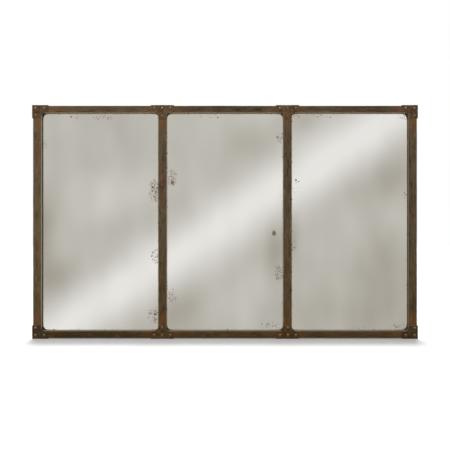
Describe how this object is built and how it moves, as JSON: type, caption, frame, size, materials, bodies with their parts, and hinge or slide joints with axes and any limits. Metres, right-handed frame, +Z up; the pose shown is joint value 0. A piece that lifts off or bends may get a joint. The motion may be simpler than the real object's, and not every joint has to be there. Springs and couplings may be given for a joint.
{
  "type": "triptych mirror",
  "caption": "Wide wall mirror of three tall panes side by side in one rigid rusted-steel frame, with nailed plates over the joints and swinging rings behind to hang it.",
  "frame": {"origin": "on the wall plane, midway between the pivots of the two hanging rings", "axes": "+X along the mirror's width, to the right seen from the front; +Y into the wall, so the glass faces -Y; +Z up"},
  "size_m": [1.65, 0.0395, 1],
  "materials": {
    "aged_steel": "lacquered brown rust patina with lengthwise streaks, satin",
    "plate_steel": "mottled rust patina, satin",
    "nail_steel": "rusted steel, worn brighter on the domes",
    "mirror_glass": "polished, with foxing near the edges",
    "timber": "planed softwood, unfinished",
    "board": "smooth fibreboard, unfinished",
    "zinc_steel": "zinc plated",
    "bumper_rubber": "matt"
  },
  "bodies": {
    "frame": {"top_rail_cover": "aged_steel", "top_rail_core": "timber", "bottom_rail_cover": "aged_steel", "bottom_rail_core": "timber", "left_stile_cover": "aged_steel", "left_stile_core": "timber", "left_mullion_cover": "aged_steel", "left_mullion_core": "timber", "left_hanger_strap": "zinc_steel", "left_hanger_screws": "zinc_steel", "right_stile_cover": "aged_steel", "right_stile_core": "timber", "right_mullion_cover": "aged_steel", "right_mullion_core": "timber", "right_hanger_strap": "zinc_steel", "right_hanger_screws": "zinc_steel", "corner_plate_top_left": "plate_steel", "tee_plate_top_left": "plate_steel", "nails_corner_top_left": "nail_steel", "nails_tee_top_left": "nail_steel", "wall_bumper_top_left": "bumper_rubber", "corner_plate_top_right": "plate_steel", "tee_plate_top_right": "plate_steel", "nails_corner_top_right": "nail_steel", "nails_tee_top_right": "nail_steel", "wall_bumper_top_right": "bumper_rubber", "corner_plate_bottom_left": "plate_steel", "tee_plate_bottom_left": "plate_steel", "nails_corner_bottom_left": "nail_steel", "nails_tee_bottom_left": "nail_steel", "wall_bumper_bottom_left": "bumper_rubber", "corner_plate_bottom_right": "plate_steel", "tee_plate_bottom_right": "plate_steel", "nails_corner_bottom_right": "nail_steel", "nails_tee_bottom_right": "nail_steel", "wall_bumper_bottom_right": "bumper_rubber", "left_mirror": "mirror_glass", "left_backing_board": "board", "left_board_clips": "zinc_steel", "left_clip_screws": "zinc_steel", "centre_mirror": "mirror_glass", "centre_backing_board": "board", "centre_board_clips": "zinc_steel", "centre_clip_screws": "zinc_steel", "right_mirror": "mirror_glass", "right_backing_board": "board", "right_board_clips": "zinc_steel", "right_clip_screws": "zinc_steel"},
    "left_ring": {"left_hanger_ring": "zinc_steel"},
    "right_ring": {"right_hanger_ring": "zinc_steel"}
  },
  "joints": [
    {"name": "left_ring_swing", "type": "hinge", "parent": "frame", "child": "left_ring", "pos_m": [-0.8085, -0.0042, 0], "axis": [1, 0, 0], "range_deg": [0, 180]},
    {"name": "right_ring_swing", "type": "hinge", "parent": "frame", "child": "right_ring", "pos_m": [0.8085, -0.0042, 0], "axis": [1, 0, 0], "range_deg": [0, 180]}
  ]
}
